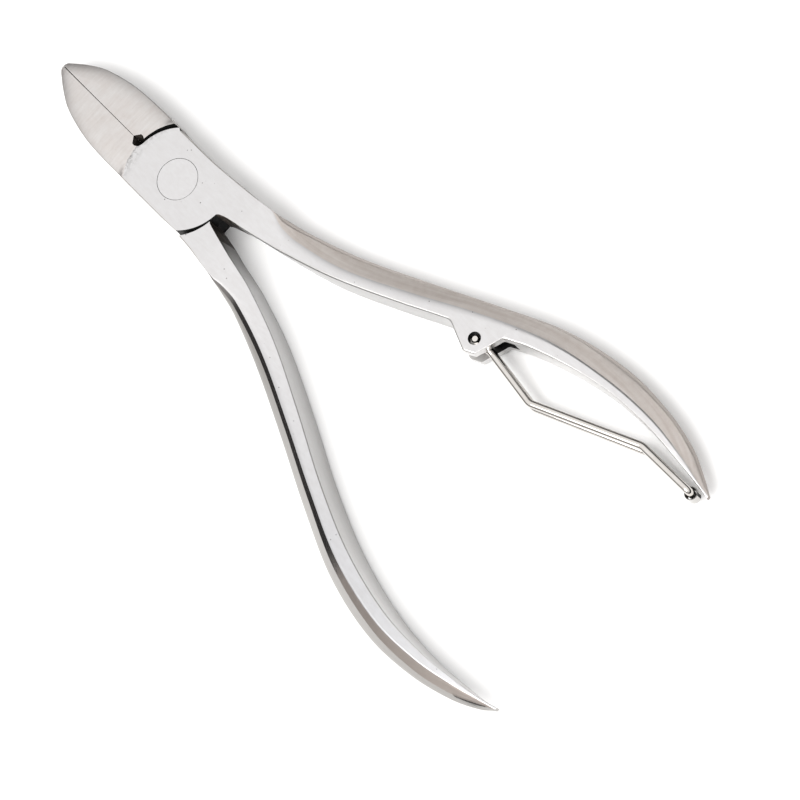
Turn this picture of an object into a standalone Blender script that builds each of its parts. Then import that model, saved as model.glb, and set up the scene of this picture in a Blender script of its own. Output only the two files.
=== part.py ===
"""A lap-joint toenail nipper: two forged levers, a flush pivot rivet, a wire bail and its roller.

Sizes are in millimetres and become metres where a mesh is made. +Y runs to the jaw tips, +Z is up,
and the origin is on the pivot axis at the face that the nipper rests on. The jaws are closed.
"""

import math

import bmesh
import bpy

MM = 0.001

# Thickness and the lap joint.
THICKNESS = 7.0
MID = THICKNESS / 2
LAP_GAP = 0.1  # between the two lap faces
SHOULDER_RADIUS = 10.12  # the shoulders are milled round the pivot
PLATE_RADIUS_NEAR = 9.95  # the plate's round ends, next to the throat and the crotch
PLATE_RADIUS_FAR = 9.2  # the same ends, at the plate's outer sides
PLATE_END_ANGLE = 44.0
ARC_STEPS = 10
JAW_SIDE_OF_LUG_LEVER = 6.55  # from the plane between the jaws to the plate's side that is under the jaw
JAW_SIDE_OF_PLAIN_LEVER = 6.25
HANDLE_SIDE = ((-11.0, 6.9), (-7.0, 6.6), (-3.0, 6.35), (0.0, 6.3), (3.0, 6.3), (6.0, 6.3))

# Jaws.
JAW_TIP_Y = 32.6
RIDGE = ((6.5, 9.0), (0.85, 10.2))  # where the ground facet starts, outer side first
FACET_SLOPE_TOP = 0.075
FACET_SLOPE_BOTTOM = 0.10
FACET_ROUNDING = 1.3  # width of the rounded outer edge
JAW_OUTLINE = ((32.45, 0.75), (31.9, 1.25), (28.9, 3.2), (25.6, 4.75), (19.5, 6.1), (14.0, 6.48), (9.0, 6.5))
CUT_GAP_THROAT = 0.03  # from the cutting edge to the plane between the jaws
CUT_GAP_TIP = 0.07
EDGE_LAND = 1.1  # height of the cutting edge's upright land
HOLLOW_SHARE = 0.52  # how far the hollow under the edge reaches across the jaw
THROAT = ((0.75, 9.98), (0.85, 10.2), (1.0, 10.6), (1.0, 11.05), (CUT_GAP_THROAT, 11.85))
JAW_STEPS = 12
CUTTING_STEPS = 10
HOLLOW_STEPS = 6
TIP_ROUNDING = 0.3
ROUNDING_END_Y = -3.0  # the plate's sides are upright and sharp below this

# Crotch: each lever's side from the plate's round end to its handle.
LUG_CROTCH = ((-0.3, 10.02), (-0.7, 10.5), (-1.15, 11.9))
PLAIN_CROTCH = ((-0.6, 9.95), (-1.3, 10.15), (-1.85, 11.9))

# Handles: y, inner edge, outer side, width of the outer bevel, lean of the inner side.
LUG_HANDLE = (
    (-14.0, 1.6, 7.1, 0.0, -0.4),
    (-17.0, 2.2, 7.45, 0.0, -0.6),
    (-20.0, 2.85, 8.2, 1.85, -0.6),
    (-24.0, 3.8, 9.1, 2.8, -0.5),
    (-34.0, 6.8, 12.2, 3.65, -0.1),
    (-46.0, 11.65, 17.1, 3.45, 0.0),
    (-58.0, 17.0, 22.2, 2.9, 0.0),
    (-70.0, 21.7, 27.05, 3.05, 0.0),
    (-82.0, 24.55, 29.4, 3.4, 0.1),
    (-92.0, 25.1, 29.15, 2.9, 0.1),
    (-100.0, 24.45, 27.5, 2.3, 0.0),
    (-105.0, 23.85, 25.3, 1.2, 0.0),
    (-107.8, 23.3, 23.75, 0.1, 0.0),
)
PLAIN_HANDLE = (
    (-14.0, 2.4, 7.3, 0.0, 0.3),
    (-17.0, 3.1, 7.7, 0.0, 0.35),
    (-20.0, 3.7, 8.6, 1.1, 0.4),
    (-24.0, 4.6, 9.6, 1.75, 0.4),
    (-34.0, 7.9, 13.3, 2.4, 0.6),
    (-46.0, 13.3, 18.55, 2.55, 0.8),
    (-58.0, 19.05, 24.05, 2.9, 0.9),
    (-70.0, 23.75, 28.85, 3.0, 1.0),
    (-82.0, 26.45, 31.15, 2.85, 0.9),
    (-92.0, 26.75, 30.65, 2.75, 0.5),
    (-100.0, 25.9, 28.7, 2.1, 0.2),
    (-105.0, 25.0, 26.4, 1.2, 0.0),
    (-107.0, 24.35, 24.8, 0.1, 0.0),
)
HANDLE_HEIGHT = ((-14.0, 7.0), (-28.0, 6.75), (-50.0, 6.6), (-76.0, 6.5), (-92.0, 6.05), (-101.0, 5.3), (-107.8, 4.1))
HANDLE_STEP = 2.6
BEVEL_ANGLE = 28.0  # slope at which the bevel leaves the flat

# Lug, slot and the bail's holes.
LUG_CORNERS = (
    (14.3, -52.0, 0.0),
    (15.35, -54.45, 1.8),
    (13.2, -60.0, 0.5),
    (14.1, -62.0, 0.25),
    (19.15, -63.7, 0.8),
    (20.2, -66.0, 0.0),
)
SLOT_LOW, SLOT_HIGH = 2.0, 5.0
SLOT_OUTLINE = ((8.0, -56.3), (17.3, -59.15), (19.65, -64.5), (19.0, -70.0), (8.0, -70.0))
BAIL_PIVOT = (15.73, -60.06)
BAIL_HOLE_RADIUS = 1.08

# Rivet: radius of its flush heads, radius of its shank, depth of the head's rim and of its cone.
HEAD_RADIUS = 3.7
SHANK_RADIUS = 2.5
HEAD_RIM = 0.7
HEAD_CONE = 1.2
RUNNING_GAP = 0.05
ROUND_STEPS = 48

# Wire bail and its roller. The upper leg's route is x, y, z and the bend radius there.
WIRE_RADIUS = 0.68
WIRE_END_Z = 6.3
UPPER_LEG = (
    (15.73, -60.06, 4.23, 0.72),
    (15.95, -62.9, 4.23, 1.5),
    (14.35, -74.5, 4.95, 2.2),
    (22.08, -94.15, 5.55, 2.6),
    (22.06, -105.45, 5.75, 0.9),
)
WIRE_SIDES = 12
ROLLER_RADIUS = 1.2
ROLLER_BORE = 0.95
ROLLER_LENGTH = 2.5


def clear_scene():
    for old in list(bpy.data.objects):
        bpy.data.objects.remove(old, do_unlink=True)


def steel(name, colour, roughness):
    material = bpy.data.materials.new(name)
    material.use_nodes = True
    shader = material.node_tree.nodes["Principled BSDF"]
    shader.inputs["Base Color"].default_value = (*colour, 1.0)
    shader.inputs["Metallic"].default_value = 1.0
    shader.inputs["Roughness"].default_value = roughness
    return material


def add_object(name, mesh, material, smooth_angle=32.0):
    mesh.shade_smooth()
    mesh.set_sharp_from_angle(angle=math.radians(smooth_angle))
    if material:
        mesh.materials.append(material)
    obj = bpy.data.objects.new(name, mesh)
    bpy.context.scene.collection.objects.link(obj)
    return obj


def mesh_of(name, points, faces):
    """A mesh from points in millimetres, with its faces turned outwards."""
    mesh = bpy.data.meshes.new(name)
    mesh.from_pydata([(x * MM, y * MM, z * MM) for x, y, z in points], [], faces)
    shape = bmesh.new()
    shape.from_mesh(mesh)
    bmesh.ops.recalc_face_normals(shape, faces=shape.faces)
    shape.to_mesh(mesh)
    shape.free()
    return mesh


def hide_as_cutter(obj):
    obj.hide_render = True
    obj.display_type = "WIRE"


def cut(target, cutter):
    boolean = target.modifiers.new(cutter.name, "BOOLEAN")
    boolean.operation = "DIFFERENCE"
    boolean.solver = "EXACT"
    boolean.object = cutter


def prism(name, outline, low, high):
    count = len(outline)
    points = [(x, y, low) for x, y in outline] + [(x, y, high) for x, y in outline]
    faces = [list(range(count)), list(range(count, 2 * count))]
    faces += [[i, (i + 1) % count, count + (i + 1) % count, count + i] for i in range(count)]
    return mesh_of(name, points, faces)


def turned(name, profile, centre=(0.0, 0.0), steps=ROUND_STEPS, closed_ring=False):
    """A solid of revolution about Z. The profile is (radius, z); a ring's profile closes on itself."""
    points, faces = [], []
    rows = len(profile)
    for step in range(steps):
        angle = 2 * math.pi * step / steps
        for radius, z in profile:
            points.append((centre[0] + radius * math.cos(angle), centre[1] + radius * math.sin(angle), z))
    last = rows if closed_ring else rows - 1
    for step in range(steps):
        here, there = step * rows, (step + 1) % steps * rows
        for row in range(last):
            after = (row + 1) % rows
            faces.append([here + row, there + row, there + after, here + after])
    if not closed_ring:
        faces.append([step * rows for step in range(steps)])
        faces.append([step * rows + rows - 1 for step in range(steps)])
    return mesh_of(name, points, faces)


def curve_through(table, y, column):
    """The column's value at y, on a smooth curve through the table's rows, which run down in y."""
    rows = [row[0] for row in table]
    values = [row[column] for row in table]
    if y >= rows[0]:
        return values[0]
    if y <= rows[-1]:
        return values[-1]
    i = next(k for k in range(len(rows) - 1) if rows[k + 1] <= y)

    def slope(k):
        before, after = max(k - 1, 0), min(k + 1, len(rows) - 1)
        return (values[after] - values[before]) / (rows[after] - rows[before])

    span = rows[i + 1] - rows[i]
    t = (y - rows[i]) / span
    return (
        (2 * t**3 - 3 * t**2 + 1) * values[i]
        + (t**3 - 2 * t**2 + t) * span * slope(i)
        + (3 * t**2 - 2 * t**3) * values[i + 1]
        + (t**3 - t**2) * span * slope(i + 1)
    )


def rounded_route(corners, steps=5):
    """Points along a route of (*place, radius), with each corner that has a radius rounded off."""
    route = []
    for i, corner in enumerate(corners):
        place, radius = corner[:-1], corner[-1]
        if radius == 0 or i in (0, len(corners) - 1):
            route.append(place)
            continue
        back = [a - b for a, b in zip(corners[i - 1][:-1], place)]
        ahead = [a - b for a, b in zip(corners[i + 1][:-1], place)]
        back_length, ahead_length = math.hypot(*back), math.hypot(*ahead)
        back = [a / back_length for a in back]
        ahead = [a / ahead_length for a in ahead]
        half = math.acos(max(-1.0, min(1.0, sum(a * b for a, b in zip(back, ahead))))) / 2
        reach = min(radius / math.tan(half), 0.45 * back_length, 0.45 * ahead_length)
        middle = [a + b for a, b in zip(back, ahead)]
        size = math.hypot(*middle)
        radius = reach * math.tan(half)
        centre = [p + m / size * radius / math.sin(half) for p, m in zip(place, middle)]
        start = [p + reach * a - c for p, a, c in zip(place, back, centre)]
        end = [p + reach * a - c for p, a, c in zip(place, ahead, centre)]
        turn = math.pi - 2 * half
        for step in range(steps + 1):
            t = step / steps
            a = math.sin((1 - t) * turn) / math.sin(turn)
            b = math.sin(t * turn) / math.sin(turn)
            route.append(tuple(c + a * s + b * e for c, s, e in zip(centre, start, end)))
    return route


# A lever's outline is a ring of columns. Each column is a list of (x, y, z) points from the bottom up,
# with four steps below the middle and four above it.
def bevel_steps():
    first = math.radians(BEVEL_ANGLE)
    angles = [first + (math.pi / 2 - first) * k / 4 for k in range(5)]
    inward = [1 - (math.sin(a) - math.sin(first)) / (1 - math.sin(first)) for a in angles]
    height = [math.cos(a) / math.cos(first) for a in angles]
    return list(zip(inward, height))


def column(x, y, low, high, bevel=0.0, foot=0.0):
    """A side that is widest in the middle. bevel moves its edges in, foot moves its bottom edge out."""
    steps = bevel_steps()
    lower = [(x - bevel * i, y, MID - (MID - low) * h) for i, h in steps]
    upper = [(x - bevel * i, y, MID + (high - MID) * h) for i, h in reversed(steps[:-1])]
    points = lower + upper
    return [(px - foot * (high - z) / (high - low), py, z) for px, py, z in points]


def edged_column(x, y, low, high, rounding):
    """An upright side whose top and bottom edges are rounded by this width."""
    drop = 0.5 * rounding
    quarter = [(1 - math.sin(a), math.cos(a)) for a in (0.0, math.pi / 6, math.pi / 3, math.pi / 2)]
    lower = [(x - rounding * i, y, low + drop * (1 - h)) for i, h in quarter]
    upper = [(x - rounding * i, y, high - drop * (1 - h)) for i, h in reversed(quarter)]
    return lower + [(x, y, MID)] + upper


def past_ridge(x, y):
    """How far a point lies past the ridge, towards the jaw tip. x is counted outwards from the jaws' plane."""
    (x0, y0), (x1, y1) = RIDGE
    length = math.hypot(x1 - x0, y1 - y0)
    return max(0.0, ((x0 - x1) * (y - y0) - (y0 - y1) * (x - x0)) / length)


def jaw_low(x, y):
    return FACET_SLOPE_BOTTOM * past_ridge(x, y)


def jaw_high(x, y):
    return THICKNESS - FACET_SLOPE_TOP * past_ridge(x, y)


def plate_rounding(y):
    """The jaw's rounded edge runs on down the plate's side and fades out."""
    return FACET_ROUNDING * (y - ROUNDING_END_Y) / (JAW_OUTLINE[-1][0] - ROUNDING_END_Y)


def jaw_side_columns(half_width):
    """The jaw's outer side, from its tip to the ridge, then the plate's side down to its round end."""
    columns = []
    for y, x in JAW_OUTLINE[:2]:
        columns.append(edged_column(x, y, jaw_low(x, y), jaw_high(x, y), TIP_ROUNDING))
    first_y, last_y = JAW_OUTLINE[1][0], JAW_OUTLINE[-1][0]
    for step in range(1, JAW_STEPS + 1):
        y = first_y + (last_y - first_y) * step / JAW_STEPS
        x = curve_through(JAW_OUTLINE, y, 1)
        rounding = FACET_ROUNDING * min(1.0, 0.25 + (JAW_TIP_Y - y) / 10)
        columns.append(edged_column(x, y, jaw_low(x, y), jaw_high(x, y), rounding))
    for y in (6.0, 3.0, 0.0, ROUNDING_END_Y):
        columns.append(edged_column(half_width, y, 0.0, THICKNESS, plate_rounding(y)))
    return columns


def plate_end(angle):
    share = angle / PLATE_END_ANGLE
    radius = PLATE_RADIUS_NEAR + (PLATE_RADIUS_FAR - PLATE_RADIUS_NEAR) * share
    return radius * math.sin(math.radians(angle)), radius * math.cos(math.radians(angle))


def lower_end_columns(crotch):
    """The plate's round end at the crotch, from its outer corner to the handle. x counts to the jaw's side."""
    angles = [PLATE_END_ANGLE * (1 - k / ARC_STEPS) for k in range(ARC_STEPS + 1)]
    places = [plate_end(angle) for angle in angles] + list(crotch)
    return [column(x, -y, 0.0, THICKNESS) for x, y in places]


def upper_end_columns():
    """The plate's round end at the throat, from its outer corner inwards, then the throat."""
    angles = [PLATE_END_ANGLE * (1 - k / ARC_STEPS) for k in range(ARC_STEPS)]
    places = [(-x, y) for x, y in (plate_end(angle) for angle in angles)] + [(-0.2, 9.93)]
    columns = [column(x, y, 0.0, THICKNESS) for x, y in places]
    return columns + [column(x, y, jaw_low(x, y), jaw_high(x, y)) for x, y in THROAT]


def cutting_columns():
    """The cutting edge, from the throat to the tip, with the hollow ground out under it."""
    columns = []
    for step in range(1, CUTTING_STEPS + 1):
        share = step / CUTTING_STEPS
        y = THROAT[-1][1] + (JAW_TIP_Y - THROAT[-1][1]) * share
        edge = CUT_GAP_THROAT + (CUT_GAP_TIP - CUT_GAP_THROAT) * share
        outer = curve_through(JAW_OUTLINE, y, 1)
        hollow = HOLLOW_SHARE * outer * min(1.0, step / 3)
        low, high = jaw_low(edge, y), jaw_high(edge, y)
        land = high - EDGE_LAND
        below = []
        for k in range(HOLLOW_STEPS + 1):
            up = k / HOLLOW_STEPS
            below.append((edge + hollow * (1 - up) ** 1.4, y, low + (land - low) * up))
        columns.append(below + [(edge, y, land + EDGE_LAND / 2), (edge, y, high)])
    return columns


def handle_height(y):
    high = curve_through(HANDLE_HEIGHT, y, 1)
    return THICKNESS - high, high


def handle_rows(table, lug):
    """Each row is y and the inner edge's x there, from the joint to the handle's end."""
    count = round((table[0][0] - table[-1][0]) / HANDLE_STEP)
    rows = []
    for step in range(count + 1):
        y = table[0][0] + (table[-1][0] - table[0][0]) * step / count
        if not (lug and lug[-1][1] - 0.6 < y < lug[0][1] + 0.6):
            rows.append((y, curve_through(table, y, 1)))
    return sorted(rows + [(y, x) for x, y in lug], reverse=True)


def handle_columns(table, lug):
    """The inner side down to the handle's end, then the outer side back up. x counts to the handle's side."""
    rows = handle_rows(table, lug)
    inner, outer = [], []
    for y, x in rows:
        low, high = handle_height(y)
        inner.append(column(x, y, low, high, foot=curve_through(table, y, 4)))
        outer.append(column(curve_through(table, y, 2), y, low, high, bevel=curve_through(table, y, 3)))
    return inner, outer[::-1]


def handle_side_columns():
    """The plate's side above the handle. Past the pivot its edges round off, as the jaw beside it does."""
    columns = []
    for y, x in HANDLE_SIDE:
        if y < ROUNDING_END_Y:
            side = column(x, y, 0.0, THICKNESS)
        else:
            side = edged_column(x, y, 0.0, THICKNESS, plate_rounding(y))
        columns.append([(-px, py, z) for px, py, z in side])
    return columns


def lever_mesh(name, jaw_side, half_width, crotch, table, lug=()):
    """The whole lever before milling. jaw_side is -1 where the jaw is on -X and the handle on +X."""
    jaw = jaw_side_columns(half_width)
    lower = lower_end_columns(crotch)
    inner, outer = handle_columns(table, lug)
    plate_side = handle_side_columns()
    upper = upper_end_columns()
    cutting = cutting_columns()
    mirrored = [[(-x, y, z) for x, y, z in points] for points in inner + outer]
    columns = jaw + lower + mirrored + plate_side + upper + cutting
    points = [(x * jaw_side, y, z) for points in columns for x, y, z in points]
    height, count = len(columns[0]), len(columns)
    faces = []
    for i in range(count):
        here, there = i * height, (i + 1) % count * height
        faces += [[here + k, there + k, there + k + 1, here + k + 1] for k in range(height - 1)]
    ridge_outer = JAW_STEPS + 1
    handle_first = len(jaw) + len(lower)
    handle_count = len(inner)
    ridge_inner = handle_first + 2 * handle_count + len(plate_side) + len(upper) - len(THROAT) + 1
    jaw_face = list(range(ridge_outer + 1)) + list(range(ridge_inner, count))
    joint_face = list(range(ridge_outer, handle_first + 1))
    joint_face += list(range(handle_first + 2 * handle_count - 1, ridge_inner + 1))
    flats = [jaw_face, joint_face]
    for k in range(handle_count - 1):
        a, b = handle_first + k, handle_first + 2 * handle_count - 1 - k
        flats.append([a, a + 1, b - 1, b])
    for level in (0, height - 1):
        faces += [[i * height + level for i in flat] for flat in flats]
    return mesh_of(name, points, faces)


def rivet_profile(grow):
    rim, shank = HEAD_RADIUS + grow, SHANK_RADIUS + grow
    foot = HEAD_RIM + HEAD_CONE
    over = 1.0 if grow else 0.0
    return [
        (rim, -over),
        (rim, HEAD_RIM),
        (shank, foot),
        (shank, THICKNESS - foot),
        (rim, THICKNESS - HEAD_RIM),
        (rim, THICKNESS + over),
    ]


def make_rivet_bore():
    bore = add_object("cutter_rivet_bore", turned("cutter_rivet_bore", rivet_profile(RUNNING_GAP)), None)
    hide_as_cutter(bore)
    return bore


def make_lap_cutter(name, low, high):
    mesh = turned(name, [(SHOULDER_RADIUS, low), (SHOULDER_RADIUS, high)], steps=2 * ROUND_STEPS)
    cutter = add_object(name, mesh, None)
    hide_as_cutter(cutter)
    return cutter


def make_slot_cutters():
    slot = add_object("cutter_slot", prism("cutter_slot", SLOT_OUTLINE, SLOT_LOW, SLOT_HIGH), None)
    hole_profile = [(BAIL_HOLE_RADIUS, -1.0), (BAIL_HOLE_RADIUS, THICKNESS + 1.0)]
    hole = add_object("cutter_bail_hole", turned("cutter_bail_hole", hole_profile, BAIL_PIVOT, 28), None)
    hide_as_cutter(slot)
    hide_as_cutter(hole)
    return slot, hole


def make_levers(bore):
    satin = steel("satin steel", (0.74, 0.72, 0.70), 0.34)
    lug = rounded_route(LUG_CORNERS)
    lug_mesh = lever_mesh("lever_with_lug", -1, JAW_SIDE_OF_LUG_LEVER, LUG_CROTCH, LUG_HANDLE, lug)
    plain_mesh = lever_mesh("lever_plain", 1, JAW_SIDE_OF_PLAIN_LEVER, PLAIN_CROTCH, PLAIN_HANDLE)
    lug_lever = add_object("lever_with_lug", lug_mesh, satin)
    plain_lever = add_object("lever_plain", plain_mesh, satin)
    cut(lug_lever, make_lap_cutter("cutter_lap_lower", -1.0, MID + LAP_GAP / 2))
    cut(plain_lever, make_lap_cutter("cutter_lap_upper", MID - LAP_GAP / 2, THICKNESS + 1.0))
    cut(lug_lever, bore)
    cut(plain_lever, bore)
    for cutter in make_slot_cutters():
        cut(lug_lever, cutter)


def make_rivet():
    polished = steel("rivet steel", (0.76, 0.75, 0.74), 0.3)
    add_object("pivot_rivet", turned("pivot_rivet", rivet_profile(0.0)), polished)


def bail_route():
    """The wire's centre line, from its end in the upper cheek, round the roller, to the lower cheek."""
    start = UPPER_LEG[0]
    upper = [(start[0], start[1], WIRE_END_Z, 0.0)] + list(UPPER_LEG)
    lower = [(x, y, THICKNESS - z, radius) for x, y, z, radius in reversed(upper)]
    return rounded_route(upper + lower)


def make_bail():
    bright = steel("polished wire", (0.80, 0.79, 0.78), 0.16)
    curve = bpy.data.curves.new("wire_bail", "CURVE")
    curve.dimensions = "3D"
    curve.bevel_depth = WIRE_RADIUS * MM
    curve.bevel_resolution = WIRE_SIDES // 4
    curve.use_fill_caps = True
    curve.materials.append(bright)
    route = bail_route()
    spline = curve.splines.new("POLY")
    spline.points.add(len(route) - 1)
    for target, (x, y, z) in zip(spline.points, route):
        target.co = ((x - BAIL_PIVOT[0]) * MM, (y - BAIL_PIVOT[1]) * MM, z * MM, 1.0)
    bail = bpy.data.objects.new("wire_bail", curve)
    bail.location = (BAIL_PIVOT[0] * MM, BAIL_PIVOT[1] * MM, 0.0)
    bpy.context.scene.collection.objects.link(bail)


def make_roller():
    bright = steel("roller steel", (0.80, 0.79, 0.78), 0.2)
    low, high = MID - ROLLER_LENGTH / 2, MID + ROLLER_LENGTH / 2
    profile = [(ROLLER_BORE, low), (ROLLER_RADIUS, low), (ROLLER_RADIUS, high), (ROLLER_BORE, high)]
    roller = add_object("bail_roller", turned("bail_roller", profile, steps=32, closed_ring=True), bright)
    roller.location = (UPPER_LEG[-1][0] * MM, UPPER_LEG[-1][1] * MM, 0.0)


def main():
    clear_scene()
    bore = make_rivet_bore()
    make_levers(bore)
    make_rivet()
    make_bail()
    make_roller()


main()
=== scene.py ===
"""The looks of the toenail nipper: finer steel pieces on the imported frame, a pale table and studio light."""

import math

import bmesh
import bpy
from mathutils import Matrix, Vector


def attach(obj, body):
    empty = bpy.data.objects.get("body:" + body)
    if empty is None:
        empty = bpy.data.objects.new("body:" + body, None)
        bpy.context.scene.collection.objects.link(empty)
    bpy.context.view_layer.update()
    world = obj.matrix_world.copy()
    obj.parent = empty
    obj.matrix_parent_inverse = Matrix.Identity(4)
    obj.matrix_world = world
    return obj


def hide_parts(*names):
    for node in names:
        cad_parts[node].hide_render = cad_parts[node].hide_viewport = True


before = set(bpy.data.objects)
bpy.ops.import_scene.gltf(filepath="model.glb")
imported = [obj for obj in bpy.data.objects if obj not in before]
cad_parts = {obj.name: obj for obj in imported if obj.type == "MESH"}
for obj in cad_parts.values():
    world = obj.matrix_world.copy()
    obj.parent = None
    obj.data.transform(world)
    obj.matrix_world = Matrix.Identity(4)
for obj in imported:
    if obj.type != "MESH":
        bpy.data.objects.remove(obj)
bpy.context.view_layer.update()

MM = 0.001

# Sizes are in millimetres and slopes and angles in degrees. The frame has +Y towards the jaws, and the pivot at 0.
# Pairs that a smooth curve goes through run down in y.
THICKNESS = 7.0
MID = THICKNESS / 2
CUT_PAST = 1.0  # how far a cutting shape reaches past the blank

# The lap joint.
LAP_GAP = 0.1
SHOULDER_RADIUS = 10.12
PLATE_RADIUS_THROAT = 9.6  # the plate's round ends, next to the throat
PLATE_RADIUS_CROTCH = 9.95  # next to the crotch
PLATE_RADIUS_FAR = 9.2  # and at the plate's outer sides
PLATE_END_ANGLE = 44.0
HANDLE_SIDE = ((6.0, 6.3), (3.0, 6.3), (0.0, 6.3), (-3.0, 6.35), (-7.0, 6.6), (-11.0, 6.9))
JAW_SIDE_OF_LUG_LEVER = 6.55
JAW_SIDE_OF_PLAIN_LEVER = 6.25
# The crotch: x, y and how far its foot flares towards the other handle.
LUG_CROTCH = (
    (-0.25, 9.98, 0.0),
    (-0.5, 10.2, 0.0),
    (-0.7, 10.5, 0.0),
    (-0.95, 11.2, 0.0),
    (-1.2, 12.1, 0.0),
)
PLAIN_CROTCH = (
    (-0.5, 9.93, 0.0),
    (-1.1, 10.0, 0.0),
    (-1.4, 10.3, 0.15),
    (-1.62, 11.0, 0.35),
    (-1.9, 12.1, 0.4),
)

# The rivet, and the gap between the two levers' cutting edges.
HEAD_RADIUS = 3.7
SHANK_RADIUS = 2.5
HEAD_RIM = 0.7
HEAD_CONE = 1.2
RUNNING_GAP = 0.05
CUT_GAP_THROAT = 0.05
CUT_GAP_TIP = 0.08
CUT_GAP_LOW = 0.002  # the cutting edges all but meet below their bevel
CUT_BEVEL = 0.6  # its depth
THROAT = ((0.8, 9.85), (0.98, 10.15), (1.15, 10.6), (1.1, 11.1), (CUT_GAP_THROAT, 11.95))

# The jaws. Y and half width of their outline, then the tip's rounded nose.
JAW_OUTLINE = ((32.45, 0.75), (31.9, 1.25), (28.9, 3.2), (25.6, 4.75), (19.5, 6.1), (14.0, 6.48), (9.0, 6.5))
JAW_NOSE = ((32.45, 0.75), (32.25, 1.0), (31.95, 1.22))
JAW_TIP_Y = 32.6
JAW_ROOT_Y = 9.0
RIDGE = ((6.5, 9.0), (0.85, 10.2))
GRIND_TOP = (0.055, 0.0009)  # the ground facet's slope at the ridge, and how fast it steepens
GRIND_BOTTOM = (0.072, 0.0013)
GRIND_RUN_OUT = 0.03  # slope of the grinding back over the plate's sides
CROWN_WIDTH = 2.8
CROWN_CURVE = 0.062  # 1/mm
CROWN_TAPER = 2.0  # how fast it narrows behind the ridge
PLATE_CROWN_WIDTH = 0.9  # where it stops narrowing
RIM_WIDTH = 0.17  # of the worn rim outside the crown
RIM_CURVE = 1.3  # 1/mm
EDGE_LAND = 1.1  # height of the cutting edge's upright land at the throat
TIP_LAND = 5.2  # and at the tip
LEAST_LAND = 0.25
HOLLOW_SHARE = 0.52  # depth of the hollow ground under the cutting edge, as a share of the jaw's half width
HOLLOW_START = 0.25  # it reaches that depth at this share of the edge's length
HOLLOW_POWER = 1.4

# The handles: y, x of the inner and outer side, how far in the facet starts, the inner side's foot and rounding.
LUG_HANDLE = (
    (-14.0, 1.6, 7.1, 0.0, -0.4, 0.1),
    (-17.0, 2.2, 7.45, 0.0, -0.6, 0.15),
    (-20.0, 2.85, 8.2, 1.6, -0.6, 0.22),
    (-24.0, 3.8, 9.1, 2.55, -0.5, 0.35),
    (-34.0, 6.8, 12.2, 3.45, -0.1, 0.4),
    (-46.0, 11.65, 17.1, 3.25, 0.0, 0.4),
    (-58.0, 17.0, 22.2, 2.75, 0.0, 0.4),
    (-70.0, 21.7, 27.05, 3.15, 0.0, 0.3),
    (-82.0, 24.55, 29.4, 3.45, 0.1, 0.12),
    (-92.0, 25.1, 29.15, 2.85, 0.1, 0.1),
    (-100.0, 24.45, 27.5, 2.25, 0.0, 0.1),
    (-105.0, 23.85, 25.3, 1.2, 0.0, 0.1),
    (-107.8, 23.3, 23.75, 0.1, 0.0, 0.1),
)
PLAIN_HANDLE = (
    (-14.0, 2.4, 7.3, 0.0, 0.35, 0.1),
    (-17.0, 3.1, 7.7, 0.0, 0.3, 0.12),
    (-20.0, 3.7, 8.6, 1.15, 0.35, 0.12),
    (-24.0, 4.6, 9.6, 1.85, 0.4, 0.12),
    (-34.0, 7.9, 13.3, 2.55, 0.6, 0.15),
    (-46.0, 13.3, 18.55, 2.7, 0.8, 0.22),
    (-58.0, 19.05, 24.05, 2.8, 0.9, 0.22),
    (-70.0, 23.75, 28.85, 2.8, 1.0, 0.22),
    (-82.0, 26.45, 31.15, 2.65, 0.9, 0.22),
    (-92.0, 26.75, 30.65, 2.45, 0.5, 0.15),
    (-100.0, 25.9, 28.7, 2.1, 0.2, 0.15),
    (-105.0, 25.0, 26.4, 1.2, 0.0, 0.1),
    (-107.0, 24.35, 24.8, 0.1, 0.0, 0.1),
)
# Their outer sides: y, the flat's rolled edge and its end slope, the facet's width, and the slope that follows it.
LUG_EDGE = (
    (-17.0, 0.1, 20.0, 0.05, 31.0),
    (-20.0, 0.8, 18.0, 0.7, 31.0),
    (-24.0, 1.1, 20.0, 1.7, 31.0),
    (-34.0, 1.25, 20.0, 2.6, 31.0),
    (-46.0, 1.5, 20.0, 2.6, 31.0),
    (-58.0, 1.1, 20.0, 2.3, 31.0),
    (-66.0, 0.8, 30.0, 2.5, 31.0),
    (-74.0, 0.5, 42.0, 2.6, 31.0),
    (-92.0, 0.42, 43.0, 2.3, 31.0),
    (-100.0, 0.25, 40.0, 1.7, 31.0),
    (-107.8, 0.05, 30.0, 0.05, 31.0),
)
PLAIN_EDGE = (
    (-14.0, 0.1, 20.0, 0.05, 48.0),
    (-18.0, 0.3, 20.0, 0.4, 48.0),
    (-22.0, 0.6, 20.0, 0.7, 48.0),
    (-27.0, 1.0, 20.0, 0.85, 48.0),
    (-34.0, 1.3, 20.0, 0.9, 48.0),
    (-42.0, 1.3, 20.0, 0.9, 48.0),
    (-50.0, 1.1, 20.0, 0.95, 48.0),
    (-58.0, 0.8, 20.0, 1.0, 48.0),
    (-65.0, 0.6, 20.0, 1.1, 48.0),
    (-71.0, 0.5, 22.0, 1.2, 50.0),
    (-80.0, 0.35, 26.0, 1.25, 51.0),
    (-90.0, 0.25, 28.0, 1.45, 50.0),
    (-100.0, 0.15, 28.0, 1.3, 50.0),
    (-107.0, 0.05, 28.0, 0.05, 50.0),
)
LUG_FACET_SLOPE = 22.0
PLAIN_FACET_SLOPE = 34.0
MOST_BEVEL = 0.9  # of the handle's width
MOST_EDGE = 0.5  # of the bevel's width
MOST_FACET = 0.84  # of what the rolled edge leaves of it
LEAST_TURN = 0.1  # height of the arc's corner, as a share of the facet's foot
MOST_ROUNDING = 0.25  # of the handle's width
ROUNDING_OUT = 0.3  # share of the inner rounding that lies outside the handle's outline
MOST_SWELL = 0.15  # of the inner side
SWELL_SHARE = 0.1  # of the handle's width
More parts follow.
